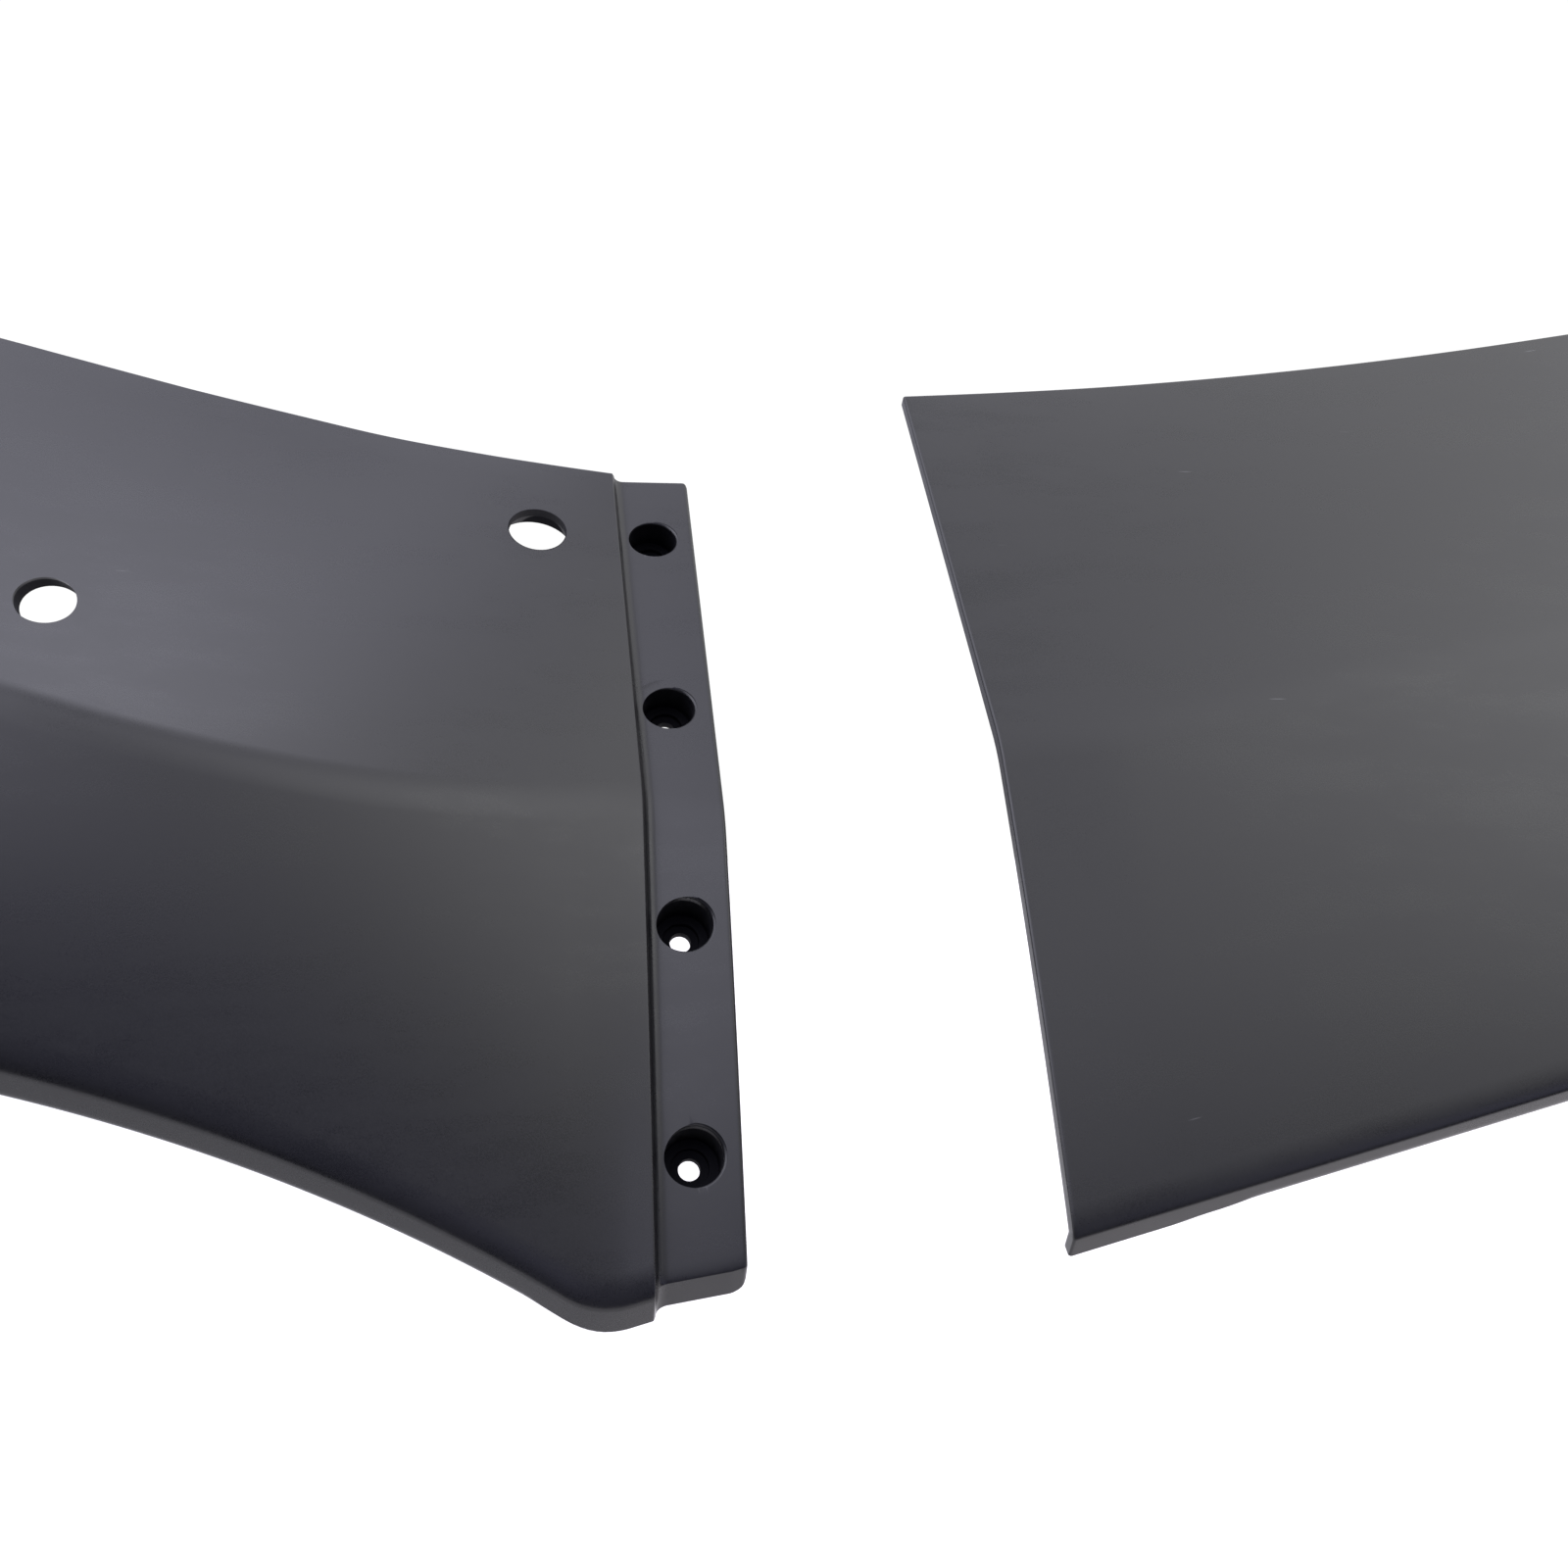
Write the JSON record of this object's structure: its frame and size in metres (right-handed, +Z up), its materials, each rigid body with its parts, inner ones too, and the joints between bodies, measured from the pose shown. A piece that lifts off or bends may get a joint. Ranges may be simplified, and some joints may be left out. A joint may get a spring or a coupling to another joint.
{
  "type": "wheel arch mudguard",
  "caption": "Two-section moulded wheel-arch mudguard: an arch panel with a recessed lap flange of counterbored screw bosses, and an extension panel that slides over it.",
  "frame": {"origin": "centre of the body bolt hole nearest the joint, in the plane of the flat pad on the panel's inner face", "axes": "+X along the vehicle from the arch panel towards the extension panel, +Y into the vehicle, +Z up"},
  "size_m": [1.1587, 0.1563, 0.4709],
  "materials": {
    "panel_plastic": "satin moulded black plastic",
    "seal_rubber": "matt extruded rubber",
    "washer_foam": "closed-cell foam",
    "clip_nylon": "natural nylon",
    "nut_steel": "zinc-plated spring steel"
  },
  "bodies": {
    "arch": {"arch_panel": "panel_plastic", "arch_edge_seal": "seal_rubber", "arch_clip_1": "clip_nylon", "arch_clip_2": "clip_nylon", "arch_clip_3": "clip_nylon", "arch_clip_4": "clip_nylon", "arch_clip_5": "clip_nylon", "arch_clip_washer_1": "washer_foam", "arch_clip_washer_2": "washer_foam", "arch_clip_washer_3": "washer_foam", "arch_clip_washer_4": "washer_foam", "arch_clip_washer_5": "washer_foam", "arch_spring_nut_1": "nut_steel", "arch_spring_nut_2": "nut_steel", "arch_spring_nut_3": "nut_steel", "arch_spring_nut_4": "nut_steel"},
    "extension": {"extension_panel": "panel_plastic", "extension_edge_seal": "seal_rubber", "extension_clip_1": "clip_nylon", "extension_clip_2": "clip_nylon", "extension_clip_3": "clip_nylon", "extension_clip_washer_1": "washer_foam", "extension_clip_washer_2": "washer_foam", "extension_clip_washer_3": "washer_foam", "extension_spring_nut_1": "nut_steel", "extension_spring_nut_2": "nut_steel"}
  },
  "joints": [
    {"name": "lap_slide", "type": "slide", "parent": "arch", "child": "extension", "axis": [-0.9205, 0.3347, -0.2014], "range_m": [0, 0.07648]}
  ]
}
